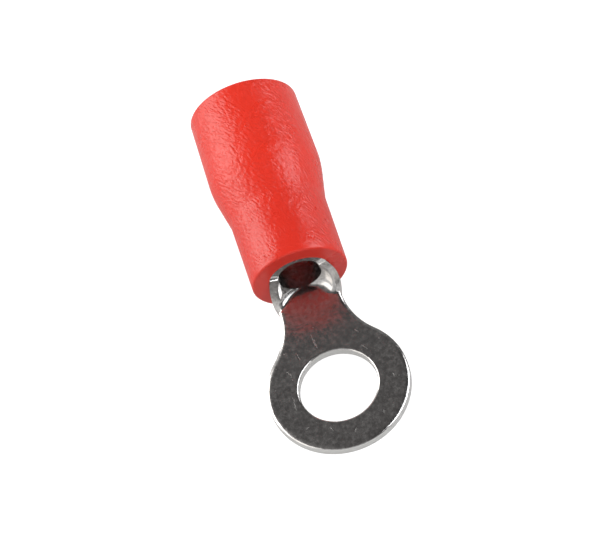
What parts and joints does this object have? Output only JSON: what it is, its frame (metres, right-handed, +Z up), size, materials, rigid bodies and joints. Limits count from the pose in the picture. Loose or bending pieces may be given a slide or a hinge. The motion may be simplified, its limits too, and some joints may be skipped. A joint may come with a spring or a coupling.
{
  "type": "insulated ring terminal",
  "caption": "Crimp ring terminal: a tinned copper ring on a short flat neck that rolls up into a wire barrel, held in a red vinyl sleeve with a wider wire end.",
  "frame": {"origin": "centre of the stud hole on the ring's underside", "axes": "+Z up out of the flat tongue, on the side the screw comes from; +X along the barrel towards the wire; the part is symmetric about the XZ plane"},
  "size_m": [0.0218, 0.008, 0.0063],
  "materials": {
    "tinned_copper": "bright tin plate, lightly grained",
    "red_vinyl": "soft vinyl with a fine orange-peel skin"
  },
  "bodies": {
    "root": {"terminal_lug": "tinned_copper", "insulation_sleeve": "red_vinyl"}
  },
  "joints": []
}
